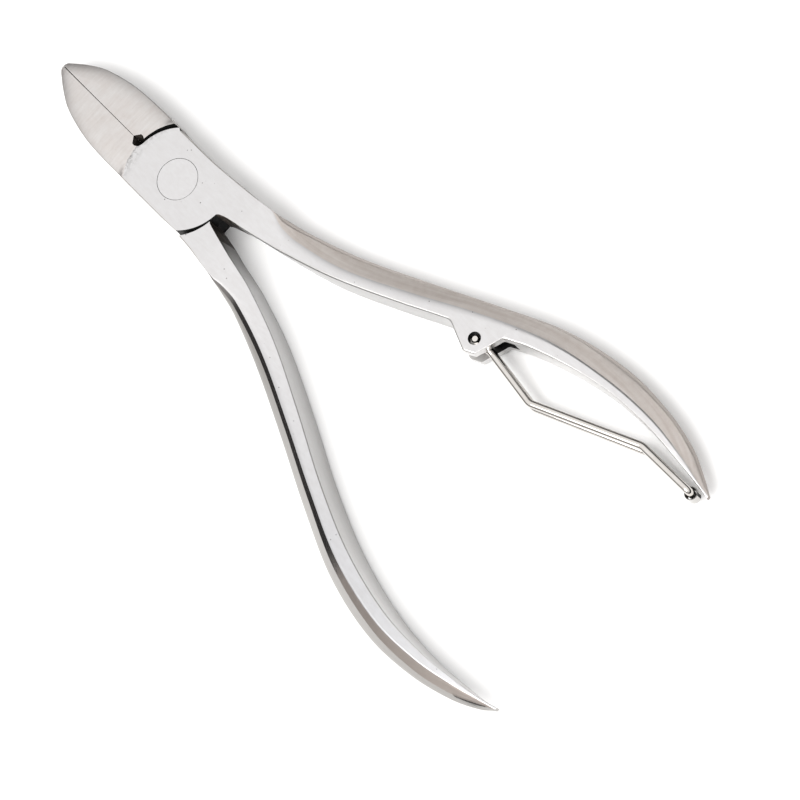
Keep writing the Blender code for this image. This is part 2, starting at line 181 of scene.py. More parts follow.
HANDLE_HEIGHT = (
    (-14.0, 7.0),
    (-28.0, 6.75),
    (-50.0, 6.6),
    (-76.0, 6.5),
    (-92.0, 6.05),
    (-101.0, 5.3),
    (-107.8, 4.1),
)
HANDLE_STEP = 0.8
EDGE_BREAK = 0.07  # rounding of the sharpest edges
SIDE_BREAK = 0.2  # and of the plate's long sides

# The lug and its slot: x, y and the corner's radius.
LUG_CORNERS = (
    (14.3, -52.0, 0.0),
    (15.35, -54.45, 1.8),
    (13.2, -60.0, 0.5),
    (14.1, -62.0, 0.25),
    (19.15, -63.7, 0.8),
    (20.2, -66.0, 0.0),
)
LUG_CLEARANCE = 0.4  # from the lug to the handle's next row
SLOT_LOW, SLOT_HIGH = 2.0, 5.0
SLOT_CORNERS = (
    (8.0, -56.3, 0.0),
    (17.3, -59.15, 0.8),
    (19.65, -64.5, 0.6),
    (19.0, -70.0, 0.0),
    (8.0, -70.0, 0.0),
)

# The bail: x, y, z and the bend's radius, from its hole to the crossbar.
BAIL_PIVOT = (15.73, -60.06)
BAIL_HOLE_RADIUS = 1.14
WIRE_RADIUS = 0.68
WIRE_END_Z = 6.3
UPPER_LEG = (
    (15.73, -60.06, 4.23, 0.72),
    (15.95, -62.9, 4.23, 1.5),
    (14.35, -74.5, 4.95, 2.2),
    (22.08, -94.15, 5.55, 2.6),
    (22.06, -105.45, 5.75, 0.74),
)

# The roller. A patch on its side, sunk in a little, is painted near black as a reflection of the handle's dark
# side.
ROLLER_RADIUS = 1.15
ROLLER_BORE = 1.0
ROLLER_LENGTH = 2.5
ROLLER_BREAK = 0.06
DARK_PATCH_ANGLE = -50.0
DARK_PATCH_HALF = 17.0
DARK_PATCH_OUTSIDE = 1.1  # the dark patch is in what lies outside this radius
DARK_PATCH_SINK = 0.93  # of the radius there

# A lever's side has this many points between its middle and its top edge.
HALF_STEPS = 12
EDGE_STEPS = 3
FACET_STEPS = 3
EDGE_ROWS = (0, 1, 2, 21, 22, 23)  # of the faces up a side, those on the flat's rolled edge
FACET_ROWS = (3, 4, 5, 18, 19, 20)  # and those on the facet

# Edges that turn by more than this stay sharp.
LEVER_CREASE = 14.0
TURNED_CREASE = 26.0
WIRE_CREASE = 30.0


# Shapes.


def curve_through(table, y, column):
    """The column's value at y, on a smooth curve through the table's rows, which run down in y."""
    rows = [row[0] for row in table]
    values = [row[column] for row in table]
    if y >= rows[0]:
        return values[0]
    if y <= rows[-1]:
        return values[-1]
    i = next(k for k in range(len(rows) - 1) if rows[k + 1] <= y)

    def slope(k):
        before, after = max(k - 1, 0), min(k + 1, len(rows) - 1)
        return (values[after] - values[before]) / (rows[after] - rows[before])

    span = rows[i + 1] - rows[i]
    t = (y - rows[i]) / span
    return (
        (2 * t**3 - 3 * t**2 + 1) * values[i]
        + (t**3 - 2 * t**2 + t) * span * slope(i)
        + (3 * t**2 - 2 * t**3) * values[i + 1]
        + (t**3 - t**2) * span * slope(i + 1)
    )


def rounded_route(corners, steps):
    """Points along a route of (*place, radius), with each corner that has a radius rounded off."""
    route = []
    for i, corner in enumerate(corners):
        place, radius = corner[:-1], corner[-1]
        if radius == 0 or i in (0, len(corners) - 1):
            route.append(place)
            continue
        back = [a - b for a, b in zip(corners[i - 1][:-1], place)]
        ahead = [a - b for a, b in zip(corners[i + 1][:-1], place)]
        back_length, ahead_length = math.hypot(*back), math.hypot(*ahead)
        back = [a / back_length for a in back]
        ahead = [a / ahead_length for a in ahead]
        half = math.acos(max(-1.0, min(1.0, sum(a * b for a, b in zip(back, ahead))))) / 2
        reach = min(radius / math.tan(half), 0.45 * back_length, 0.45 * ahead_length)
        middle = [a + b for a, b in zip(back, ahead)]
        size = math.hypot(*middle)
        radius = reach * math.tan(half)
        centre = [p + m / size * radius / math.sin(half) for p, m in zip(place, middle)]
        start = [p + reach * a - c for p, a, c in zip(place, back, centre)]
        end = [p + reach * a - c for p, a, c in zip(place, ahead, centre)]
        turn = math.pi - 2 * half
        for step in range(steps + 1):
            t = step / steps
            a = math.sin((1 - t) * turn) / math.sin(turn)
            b = math.sin(t * turn) / math.sin(turn)
            route.append(tuple(c + a * s + b * e for c, s, e in zip(centre, start, end)))
    return route


def mesh_of(name, points, faces, slots=()):
    """A mesh from points in millimetres, with its faces turned outwards and each face's material slot."""
    mesh = bpy.data.meshes.new(name)
    mesh.from_pydata([(x * MM, y * MM, z * MM) for x, y, z in points], [], faces)
    for polygon, slot in zip(mesh.polygons, slots):
        polygon.material_index = slot
    shape = bmesh.new()
    shape.from_mesh(mesh)
    bmesh.ops.recalc_face_normals(shape, faces=shape.faces)
    shape.to_mesh(mesh)
    shape.free()
    return mesh


def add_object(name, mesh, materials=()):
    for material in materials:
        mesh.materials.append(material)
    obj = bpy.data.objects.new(name, mesh)
    bpy.context.scene.collection.objects.link(obj)
    return obj


def prism(name, outline, low, high):
    count = len(outline)
    points = [(x, y, low) for x, y in outline] + [(x, y, high) for x, y in outline]
    faces = [list(range(count)), list(range(count, 2 * count))]
    faces += [[i, (i + 1) % count, count + (i + 1) % count, count + i] for i in range(count)]
    return mesh_of(name, points, faces)


def turned(name, profile, centre=(0.0, 0.0), steps=128, closed_ring=False):
    """A solid of revolution about Z. The profile is (radius, z); a ring's profile closes on itself."""
    points, faces = [], []
    rows = len(profile)
    for step in range(steps):
        angle = 2 * math.pi * step / steps
        for radius, z in profile:
            points.append((centre[0] + radius * math.cos(angle), centre[1] + radius * math.sin(angle), z))
    last = rows if closed_ring else rows - 1
    for step in range(steps):
        here, there = step * rows, (step + 1) % steps * rows
        for row in range(last):
            after = (row + 1) % rows
            faces.append([here + row, there + row, there + after, here + after])
    if not closed_ring:
        faces.append([step * rows for step in range(steps)])
        faces.append([step * rows + rows - 1 for step in range(steps)])
    return mesh_of(name, points, faces)


def tube(name, route, radius, sides=32, end_break=0.2):
    """A round wire along the route, in millimetres, with its two ends chamfered."""
    centres = [Vector(place) for place in route]
    first, last = (centres[1] - centres[0]).normalized(), (centres[-1] - centres[-2]).normalized()
    centres = [centres[0], centres[0] + first * end_break] + centres[1:-1]
    centres += [Vector(route[-1]) - last * end_break, Vector(route[-1])]
    radii = [radius - end_break] + [radius] * (len(centres) - 2) + [radius - end_break]
    ahead = (centres[1] - centres[0]).normalized()
    across = ahead.orthogonal().normalized()
    points, faces = [], []
    for i, centre in enumerate(centres):
        before, after = centres[max(i - 1, 0)], centres[min(i + 1, len(centres) - 1)]
        turned_to = (after - before).normalized()
        across = (across - turned_to * across.dot(turned_to)).normalized()
        other = turned_to.cross(across)
        for side in range(sides):
            angle = 2 * math.pi * side / sides
            points.append(tuple(centre + radii[i] * (across * math.cos(angle) + other * math.sin(angle))))
    for i in range(len(centres) - 1):
        for side in range(sides):
            after = (side + 1) % sides
            here, there = i * sides, (i + 1) * sides
            faces.append([here + side, here + after, there + after, there + side])
    faces.append(list(range(sides)))
    faces.append([(len(centres) - 1) * sides + side for side in range(sides)])
    return mesh_of(name, points, faces)


# A lever's outline is a ring of columns. Each column is a list of (x, y, z) points from the bottom up.
# Its half profile gives, from the middle to the top, how far in each point lies and how high it is.
def bevel_profile(inset, half_height, edge, edge_slope, facet, facet_slope, arc_slope):
    """A flat's rolled edge, a straight facet, then an arc that ends upright."""
    edge = min(edge, MOST_EDGE * inset)
    facet = min(facet, MOST_FACET * (inset - edge))
    roll, lean = math.tan(math.radians(edge_slope)), math.tan(math.radians(facet_slope))
    points = []
    for step in range(EDGE_STEPS):
        t = step / EDGE_STEPS
        points.append((inset - edge * t, half_height - edge * roll * t**2 / 2))
    start_u, start_z = inset - edge, half_height - edge * roll / 2
    for step in range(FACET_STEPS):
        t = step / FACET_STEPS
        points.append((start_u - facet * t, start_z - facet * t * lean))
    start_u, start_z = start_u - facet, start_z - facet * lean
    turn_z = max(start_z - start_u * math.tan(math.radians(arc_slope)), LEAST_TURN * start_z)
    arc_steps = HALF_STEPS - EDGE_STEPS - FACET_STEPS
    for step in range(arc_steps + 1):
        t = step / arc_steps
        points.append((start_u * (1 - t) ** 2, start_z * (1 - t) ** 2 + 2 * turn_z * t * (1 - t)))
    return [(u, z / half_height) for u, z in reversed(points)]


def inner_profile(rounding, swell, half_height):
    """A rounded top edge, then a side that swells a little towards its middle."""
    edge_steps = 7
    last = math.radians(78.0)
    points = []
    for step in range(edge_steps + 1):
        a = last * step / edge_steps
        points.append((swell + rounding * (1 - math.sin(a)), half_height - rounding * (1 - math.cos(a))))
    low_u, low_z = points[-1]
    for step in range(1, HALF_STEPS - edge_steps + 1):
        t = step / (HALF_STEPS - edge_steps)
        points.append((low_u * (1 - t) ** 2, low_z * (1 - t)))
    return [(u, z / half_height) for u, z in reversed(points)]


def rounded_profile(rounding, half_height):
    """An upright side with a rounded top edge."""
    round_steps = 6
    points = []
    for step in range(round_steps + 1):
        a = math.pi / 2 * step / round_steps
        points.append((rounding * (1 - math.sin(a)), 1 - rounding / half_height * (1 - math.cos(a))))
    for step in range(1, HALF_STEPS - round_steps + 1):
        points.append((0.0, points[round_steps][1] * (1 - step / (HALF_STEPS - round_steps))))
    return list(reversed(points))


def column(x, y, low, high, profile, foot=0.0, inwards=-1, below=None):
    """A side that is widest in the middle.

    below is its lower half's profile, where that differs. foot moves its bottom edge out.
    """
    half = (high - low) / 2
    middle = (high + low) / 2
    lower = [(x + inwards * u, y, middle - half * h) for u, h in reversed(below or profile)]
    upper = [(x + inwards * u, y, middle + half * h) for u, h in profile[1:]]
    return [(px + inwards * foot * (high - z) / (high - low), py, z) for px, py, z in lower + upper]


def full_column(x, y, rounding=EDGE_BREAK, foot=0.0):
    """An upright side over the whole thickness."""
    return column(x, y, 0.0, THICKNESS, rounded_profile(rounding, THICKNESS / 2), foot)


def past_ridge(x, y):
    """How far a point lies past the ridge, towards the jaw tip."""
    (x0, y0), (x1, y1) = RIDGE
    length = math.hypot(x1 - x0, y1 - y0)
    return ((x0 - x1) * (y - y0) - (y0 - y1) * (abs(x) - x0)) / length


def ground_depth(x, y, grind):
    """How far below the blank's face the grinding wheel went: the jaws' facets and the crown at their sides."""
    past = past_ridge(x, y)
    depth = grind[0] * past + grind[1] * past**2 if past > 0 else GRIND_RUN_OUT * past
    to_side = curve_through(JAW_OUTLINE, y, 1) - abs(x)
    crown = max(PLATE_CROWN_WIDTH, CROWN_WIDTH + CROWN_TAPER * min(past, 0.0))
    depth += CROWN_CURVE * max(0.0, crown - to_side) ** 2
    return depth + RIM_CURVE * max(0.0, RIM_WIDTH - to_side) ** 2


def jaw_side_columns(half_width):
    """The jaw's outer side, from its tip to the shoulder, then the plate's side down to its round end."""
    jaw_steps, plate_steps = 36, 12
    places = list(JAW_NOSE)
    nose_y = JAW_NOSE[-1][0]
    for step in range(1, jaw_steps + 1):
        y = nose_y + (JAW_ROOT_Y - nose_y) * step / jaw_steps
        places.append((y, curve_through(JAW_OUTLINE, y, 1)))
    jaw_count = len(places)
    plate_side = (JAW_OUTLINE[-1], (6.0, half_width), (-3.0, half_width))
    for step in range(1, plate_steps + 1):
        y = JAW_ROOT_Y - step
        places.append((y, curve_through(plate_side, y, 1)))
    rounding = [EDGE_BREAK] * jaw_count + [SIDE_BREAK] * plate_steps
    return [full_column(x, y, edge) for (y, x), edge in zip(places, rounding)]


def plate_end(angle, near):
    share = angle / PLATE_END_ANGLE
    radius = near + (PLATE_RADIUS_FAR - near) * share
    return radius * math.sin(math.radians(angle)), radius * math.cos(math.radians(angle))


def end_angles(steps=24):
    return [PLATE_END_ANGLE * (1 - k / steps) for k in range(steps + 1)]


def lower_end_columns(crotch):
    places = [(*plate_end(angle, PLATE_RADIUS_CROTCH), 0.0) for angle in end_angles()] + list(crotch)
    return [full_column(x, -y, foot=-foot) for x, y, foot in places]


def upper_end_columns():
    places = [plate_end(angle, PLATE_RADIUS_THROAT) for angle in end_angles()]
    return [full_column(x, y) for x, y in [(-x, y) for x, y in places] + list(THROAT)]


def cutting_columns(steps=40):
    """The cutting edge, from the throat to the tip, with the hollow ground out under it."""
    columns = []
    start_y = THROAT[-1][1]
    below_count = 2 * HALF_STEPS - 3
    for step in range(1, steps + 1):
        share = step / steps
        y = start_y + (JAW_TIP_Y - start_y) * share
        edge = CUT_GAP_THROAT + (CUT_GAP_TIP - CUT_GAP_THROAT) * share**2
        hollow = HOLLOW_SHARE * curve_through(JAW_OUTLINE, y, 1) * min(1.0, share / HOLLOW_START)
        ground = THICKNESS - ground_depth(edge, y, GRIND_TOP)
        land = max(ground - EDGE_LAND - (TIP_LAND - EDGE_LAND) * share**3, LEAST_LAND)
        points = []
        for k in range(below_count):
            t = k / (below_count - 1)
            points.append((CUT_GAP_LOW + hollow * (1 - t) ** HOLLOW_POWER, y, land * t))
        bevel_foot = max(ground - CUT_BEVEL, (land + ground) / 2)
        lean = (edge - CUT_GAP_LOW) / (ground - bevel_foot)
        points.append((CUT_GAP_LOW, y, (land + bevel_foot) / 2))
        points.append((CUT_GAP_LOW, y, bevel_foot))
        points.append((edge, y, ground))
        points.append((CUT_GAP_LOW + lean * (THICKNESS - bevel_foot), y, THICKNESS))
        columns.append(points)
    return columns


def handle_height(y):
    high = curve_through(HANDLE_HEIGHT, y, 1)
    return THICKNESS - high, high


def handle_rows(table, lug):
    count = round((table[0][0] - table[-1][0]) / HANDLE_STEP)
    rows = []
    for step in range(count + 1):
        y = table[0][0] + (table[-1][0] - table[0][0]) * step / count
        if not (lug and lug[-1][1] - LUG_CLEARANCE < y < lug[0][1] + LUG_CLEARANCE):
            rows.append((y, curve_through(table, y, 1)))
    return sorted(rows + [(y, x) for x, y in lug], reverse=True)


def handle_columns(table, lug, edges, facet_slope):
    """The inner side down to the handle's end, then the outer side back up. x counts to the handle's side."""
    inner, outer = [], []
    for y, x in handle_rows(table, lug):
        low, high = handle_height(y)
        half = (high - low) / 2
        side, facet_start, foot, rounding = (curve_through(table, y, k) for k in (2, 3, 4, 5))
        edge, edge_slope, facet, arc_slope = (curve_through(edges, y, k) for k in (1, 2, 3, 4))
        width = side - x
        inset = min(max(facet_start + edge, EDGE_BREAK), MOST_BEVEL * width)
        rounding = min(rounding, MOST_ROUNDING * width)
        swell = min(MOST_SWELL, SWELL_SHARE * width)
        side_in = inner_profile(max(rounding, EDGE_BREAK), swell, half)
        reach = max(u for u, _ in side_in) - ROUNDING_OUT * rounding
        under = inner_profile(EDGE_BREAK, side_in[0][0], half)
        inner.append(column(x - reach, y, low, high, side_in, foot=-foot, inwards=1, below=under))
        side_out = bevel_profile(inset, half, edge, edge_slope, facet, facet_slope, arc_slope)
        outer.append(column(side, y, low, high, side_out))
    return inner, outer[::-1]


def handle_side_columns():
    """The plate's side above the handle. Past the pivot its edges round off, as the jaw beside it does."""
    columns = []
    for y in range(round(HANDLE_SIDE[-1][0]), round(HANDLE_SIDE[0][0]) + 1):
        side = full_column(curve_through(HANDLE_SIDE, y, 1), y, SIDE_BREAK)
        columns.append([(-x, y, z) for x, _, z in side])
    return columns


SLOT_PLATE, SLOT_SIDE, SLOT_BEVEL, SLOT_INNER, SLOT_EDGE, SLOT_FACET = range(6)


def lever_mesh(name, jaw_side, half_width, crotch, handle, facet_slot):
    """The whole lever before milling. jaw_side is -1 where the jaw is on -X and the handle on +X."""
    jaw = jaw_side_columns(half_width)
    lower = lower_end_columns(crotch)
    inner, outer = handle
    plate_side = handle_side_columns()
    upper = upper_end_columns()
    cutting = cutting_columns()
    mirrored = [[(-x, y, z) for x, y, z in points] for points in inner + outer]
    columns = jaw + lower + mirrored + plate_side + upper + cutting
    points = [(x * jaw_side, y, z) for points in columns for x, y, z in points]
    height, count = len(columns[0]), len(columns)
    handle_first = len(jaw) + len(lower)
    handle_count = len(inner)
    handle_last = handle_first + 2 * handle_count - 1
    kinds = [SLOT_SIDE] * len(jaw) + [SLOT_EDGE] * len(lower) + [SLOT_INNER] * (handle_count - 1)
    kinds += [SLOT_BEVEL] * handle_count + [SLOT_SIDE] * len(plate_side)
    kinds += [SLOT_EDGE] * (count - len(kinds) - len(cutting)) + [SLOT_SIDE] * len(cutting)
    faces, slots = [], []
    for i in range(count):
        here, there = i * height, (i + 1) % count * height
        faces += [[here + k, there + k, there + k + 1, here + k + 1] for k in range(height - 1)]
        for k in range(height - 1):
            rolled = kinds[i] == SLOT_BEVEL and k in EDGE_ROWS
            faceted = kinds[i] == SLOT_BEVEL and k in FACET_ROWS
            slots.append(SLOT_PLATE if rolled else facet_slot if faceted else kinds[i])
    flats = [list(range(handle_first + 1)) + list(range(handle_last, count))]
    for k in range(handle_count - 1):
        a, b = handle_first + k, handle_last - k
        flats.append([a, a + 1, b - 1, b])
    for level in (0, height - 1):
        faces += [[i * height + level for i in flat] for flat in flats]
        slots += [SLOT_PLATE] * len(flats)
    return mesh_of(name, points, faces, slots)


def grinding_mesh(name, grind, face, beyond):
    """The space that the grinding wheel swept over both jaws: from their ground face out to beyond."""
    along, across = 84, 6
    first_y, last_y = -8.0, 34.0
    to_side = (CROWN_WIDTH, 1.9, 1.2, 0.6, RIM_WIDTH, 0.16, 0.08, 0.0, -0.3, -1.5)
    surface = []
    for j in range(along + 1):
        y = first_y + (last_y - first_y) * j / along
        side = curve_through(JAW_OUTLINE, y, 1)
        shrink = min(1.0, 0.3 * side)
        middle = side - to_side[0] * shrink
        places = [middle * i / across for i in range(across)] + [side - d * shrink for d in to_side]
        places = [-x for x in reversed(places[1:])] + places
        for x in places:
            depth = ground_depth(x, y, grind)
            surface.append((x, y, face - depth if beyond > face else face + depth))
    row = len(places)
    faces = [
        [j * row + i, j * row + i + 1, (j + 1) * row + i + 1, (j + 1) * row + i]
        for j in range(along)
        for i in range(row - 1)
    ]
    rim = list(range(row)) + [j * row + row - 1 for j in range(1, along + 1)]
    rim += [along * row + i for i in range(row - 2, -1, -1)] + [j * row for j in range(along - 1, 0, -1)]
    top = len(surface)
    points = surface + [(surface[i][0], surface[i][1], beyond) for i in rim]
    for k in range(len(rim)):
        after = (k + 1) % len(rim)
        faces.append([rim[k], rim[after], top + after, top + k])
    faces.append([top + k for k in range(len(rim))])
    return mesh_of(name, points, faces)


def rivet_profile(grow):
    """The rivet's outline from the bottom up or, grown by a gap, the outline of the bore that is cut for it."""
    rim, shank = HEAD_RADIUS + grow, SHANK_RADIUS + grow
    foot = HEAD_RIM + HEAD_CONE
    if grow:
        lower = [(rim, -CUT_PAST), (rim, HEAD_RIM)]
    else:
        edge = EDGE_BREAK / 2
        lower = [(rim - edge, 0.0), (rim, edge), (rim, HEAD_RIM)]
    lower.append((shank, foot))
    return lower + [(radius, THICKNESS - z) for radius, z in reversed(lower)]


def milled(blank, cutters, name):
    """The blank with the cutters' shapes taken out, as one mesh with its sharp edges marked."""
    for cutter in cutters:
        boolean = blank.modifiers.new(cutter.name, "BOOLEAN")
        boolean.operation = "DIFFERENCE"
        boolean.solver = "EXACT"
        boolean.material_mode = "TRANSFER"
        boolean.object = cutter
    graph = bpy.context.evaluated_depsgraph_get()
    mesh = bpy.data.meshes.new_from_object(blank.evaluated_get(graph))
    mesh.name = name
    bpy.data.objects.remove(blank, do_unlink=True)
    finish_mesh(mesh, LEVER_CREASE)
    obj = add_object(name, mesh)
    even_normals(obj)
    return obj


def finish_mesh(mesh, angle):
    """Smooth faces, with sharp edges where they meet at more than the angle."""
    shape = bmesh.new()
    shape.from_mesh(mesh)
    for face in shape.faces:
        face.smooth = True
    for edge in shape.edges:
        edge.smooth = edge.calc_face_angle(0.0) < math.radians(angle)
    shape.to_mesh(mesh)
    shape.free()


def even_normals(obj):
    """Large flat faces keep their own normal up to their edges."""
    weighted = obj.modifiers.new("even_normals", "WEIGHTED_NORMAL")
    weighted.keep_sharp = True
    weighted.weight = 100


# Materials.

PIT_SCALE = 0.5  # cells per millimetre, with at most one pit in each


def add_node(tree, kind, sockets=(), **settings):
    made = tree.nodes.new(kind)
    for key, value in settings.items():
        setattr(made, key, value)
    for socket, value in sockets:
        if isinstance(value, bpy.types.NodeSocket):
            tree.links.new(value, made.inputs[socket])
        else:
            made.inputs[socket].default_value = value
    return made


def noise_at(tree, place, scale, detail=3.0, roughness=0.5):
    """Noise over the place, with its own scale per millimetre along X, Y and Z."""
    mapping = add_node(tree, "ShaderNodeMapping", (("Vector", place), ("Scale", [s / MM for s in scale])))
    noise = add_node(
        tree,
        "ShaderNodeTexNoise",
        (("Vector", mapping.outputs["Vector"]), ("Scale", 1.0), ("Detail", detail), ("Roughness", roughness)),
    )
    return noise.outputs["Fac"]


def between(tree, value, low, high, from_low=0.3, from_high=0.7):
    made = add_node(
        tree,
        "ShaderNodeMapRange",
        (("Value", value), ("From Min", from_low), ("From Max", from_high), ("To Min", low), ("To Max", high)),
    )
    return made.outputs["Result"]


def mixed(tree, share, first, second, blend="MIX"):
    made = add_node(tree, "ShaderNodeMix", data_type="RGBA", blend_type=blend)
    for socket, value in (("Factor", share), ("A", first), ("B", second)):
        target = next(s for s in made.inputs if s.name == socket and (socket == "Factor" or s.type == "RGBA"))
        if isinstance(value, bpy.types.NodeSocket):
            tree.links.new(value, target)
        else:
            target.default_value = value if socket == "Factor" else (*value, 1.0)
    return next(s for s in made.outputs if s.type == "RGBA")


def maths(tree, operation, first, second):
    made = add_node(tree, "ShaderNodeMath", ((0, first), (1, second)), operation=operation)
    return made.outputs[0]


def steel(
    name, colour, roughness, grain, streak=0.06, spread=0.05, depth=0.003, pits=0.3, change=None, metallic=1.0
):
    """Steel of this colour, with grain, faint mottling and small specks.

    grain is the noise scale per millimetre along X, Y and Z, so its lines run along the smallest. streak is how
    much darker its dark lines are, spread how much the roughness varies, depth the bump in millimetres, and pits
    how strong the specks are. change adds a look that depends on the place: it takes the tree, the place, the
    colour and the roughness, and returns the last two.
    """
    material = bpy.data.materials.new(name)
    material.use_nodes = True
    tree = material.node_tree
    shader = tree.nodes["Principled BSDF"]
    shader.inputs["Metallic"].default_value = metallic
    if metallic == 0.0:
        shader.inputs["Specular IOR Level"].default_value = 0.1
    place = add_node(tree, "ShaderNodeTexCoord").outputs["Object"]
    streaks = noise_at(tree, place, grain, 5.0, 0.65)
    mottling = noise_at(tree, place, (0.9, 0.9, 0.9), 6.0, 0.7)
    tone = maths(tree, "ADD", maths(tree, "MULTIPLY", streaks, 0.65), maths(tree, "MULTIPLY", mottling, 0.35))
    dark = tuple(c * (1 - streak * warm) for c, warm in zip(colour, (1.7, 2.0, 2.2)))
    shade = mixed(tree, between(tree, tone, 0.0, 1.0, 0.36, 0.64), dark, colour)
    specks = between(tree, noise_at(tree, place, (2.4, 2.4, 2.4), 2.0, 0.5), 0.0, 1.0, 0.75, 0.80)
    shade = mixed(tree, maths(tree, "MULTIPLY", specks, pits), shade, (0.12, 0.11, 0.10))
    rough = between(tree, tone, roughness - spread, roughness + spread)
    if change:
        shade, rough = change(tree, place, shade, rough)
    tree.links.new(shade, shader.inputs["Base Color"])
    tree.links.new(rough, shader.inputs["Roughness"])
    height = maths(tree, "SUBTRACT", streaks, maths(tree, "MULTIPLY", specks, 1.5 * pits))
    bump = add_node(tree, "ShaderNodeBump", (("Height", height), ("Distance", depth * MM), ("Strength", 1.0)))
    tree.links.new(bump.outputs["Normal"], shader.inputs["Normal"])
    return material


def axis_of(tree, place, axis):
    return add_node(tree, "ShaderNodeSeparateXYZ", (("Vector", place),)).outputs[axis]


def scale_and_painted_shade(tree, place):
    """The dark, blotchy colour around the joint: partly forging scale, partly painted shade in the narrow crotch
    and throat.
    """
    blotches = between(tree, noise_at(tree, place, (0.9, 0.9, 0.9), 5.0, 0.65), 0.0, 1.0, 0.42, 0.62)
    return mixed(tree, blotches, (0.022, 0.019, 0.017), (0.085, 0.072, 0.062))


def fade_along(tree, place, axis, start, end):
    """0 at the start and 1 at the end, in millimetres along the axis."""
    return between(tree, axis_of(tree, place, axis), 0.0, 1.0, start * MM, end * MM)


def plain_inner_painted_shade(tree, place, shade, rough):
    """Scale and painted shade next to the joint, and painted shade darkening the side above the bend."""
    shade = mixed(tree, fade_along(tree, place, "Y", -92.0, -62.0), shade, (0.74, 0.74, 0.74), "MULTIPLY")
    return mixed(tree, fade_along(tree, place, "Y", -24.0, -12.0), shade, scale_and_painted_shade(tree, place)), rough


def lug_inner_painted_shade(tree, place, shade, rough):
    """Scale and painted shade next to the joint only, and painted shade darkening the side between the joint and
    the lug.
    """
    shade = mixed(tree, fade_along(tree, place, "Y", -60.0, -52.0), shade, (0.70, 0.70, 0.70), "MULTIPLY")
    return mixed(tree, fade_along(tree, place, "Y", -15.0, -11.5), shade, scale_and_painted_shade(tree, place)), rough


def joint_scale_and_painted_shade(tree, place, shade, rough):
    """The plate's ends are near black as painted shade of the lap gap; the throat and the crotch have scale with
    painted shade.
    """
    from_pivot = maths(tree, "ABSOLUTE", axis_of(tree, place, "Y"), 0.0)
    fade = between(tree, from_pivot, 0.0, 1.0, 9.96 * MM, 10.1 * MM)
    return mixed(tree, fade, shade, scale_and_painted_shade(tree, place)), rough


def painted_shade_near_joint(tree, place, shade, rough):
    """Painted shade: the arc below the facet is darker beside the joint."""
    fade = fade_along(tree, place, "Y", -60.0, -36.0)
    return mixed(tree, fade, shade, (0.62, 0.61, 0.60), "MULTIPLY"), rough


def steepness(tree, upright, level):
    """0 where the surface is at least as level as the normal's Z says, and 1 where it is at most as upright."""
    facing = axis_of(tree, add_node(tree, "ShaderNodeTexCoord").outputs["Normal"], "Z")
    return between(tree, maths(tree, "ABSOLUTE", facing, 0.0), 1.0, 0.0, upright, level)


def ground_patches_and_painted_shade(tree, place, shade, rough):
    """Uneven, warmer patches, and painted shade darkening the rim where the grinding ends, on its steep faces."""
    patches = between(tree, noise_at(tree, place, (0.25, 0.25, 0.25), 4.0, 0.6), 0.0, 1.0, 0.38, 0.62)
    shade = mixed(tree, patches, shade, (0.965, 0.945, 0.935), "MULTIPLY")
    return mixed(tree, steepness(tree, 0.70, 0.88), shade, (0.33, 0.31, 0.30)), rough


def painted_shade_when_steep(tree, place, shade, rough):
    """Painted shade: darker where the surface stands steep, towards the handle's side."""
    return mixed(tree, steepness(tree, 0.35, 0.86), shade, (0.30, 0.27, 0.25)), rough


def ground_end(tree, place, shade, rough):
    """The facet is polished next to the joint and brushed towards the handle's end."""
    fade = fade_along(tree, place, "Y", -66.0, -73.0)
    brushed = mixed(tree, 0.5, shade, (0.98, 0.84, 0.75), "MULTIPLY")
    return mixed(tree, fade, shade, brushed), maths(tree, "ADD", rough, maths(tree, "MULTIPLY", fade, 0.26))


def slot_painted_shade(tree, place, shade, rough):
    """The slot's cut faces are bare near the lug's edge, with painted shade turning them near black further in."""
    return mixed(tree, fade_along(tree, place, "X", 15.8, 17.6), shade, (0.03, 0.03, 0.03)), rough


def past_ridge_node(tree, place):
    """past_ridge as nodes, in metres."""
    (x0, y0), (x1, y1) = RIDGE
    length = math.hypot(x1 - x0, y1 - y0)
    across = maths(tree, "ADD", maths(tree, "ABSOLUTE", axis_of(tree, place, "X"), 0.0), -x0 * MM)
    along = maths(tree, "ADD", axis_of(tree, place, "Y"), -y0 * MM)
    return maths(
        tree,
        "ADD",
        maths(tree, "MULTIPLY", along, (x0 - x1) / length),
        maths(tree, "MULTIPLY", across, (y1 - y0) / length),
    )


def ridge_wear_and_painted_shade(tree, place, shade, rough):
    """Burrs beside the ridge, a broken dark line along it, a few deep pits, and painted shade darkening the far
    handle.
    """
    past = past_ridge_node(tree, place)
    close = between(tree, past, 0.0, 1.0, -2.6 * MM, 0.0)
    chips = between(tree, noise_at(tree, place, (1.6, 1.6, 1.6), 6.0, 0.75), 0.0, 1.0, 0.46, 0.58)
    burrs = maths(tree, "MULTIPLY", maths(tree, "MULTIPLY", close, close), maths(tree, "MULTIPLY", chips, 0.8))
    line = between(tree, past, 0.0, 0.65, -0.45 * MM, -0.1 * MM)
    broken = maths(tree, "MULTIPLY", line, between(tree, chips, 0.35, 1.0, 0.0, 0.6))
    shade = mixed(tree, maths(tree, "MAXIMUM", burrs, broken), shade, (0.14, 0.135, 0.13))
    scattered = add_node(tree, "ShaderNodeTexVoronoi", (("Vector", place), ("Scale", PIT_SCALE / MM)))
    pit = between(tree, scattered.outputs["Distance"], 1.0, 0.0, 0.035, 0.06)
    shade = mixed(tree, pit, shade, (0.1, 0.095, 0.09))
    return mixed(tree, fade_along(tree, place, "X", -7.0, -28.5), shade, (0.79, 0.80, 0.815), "MULTIPLY"), rough


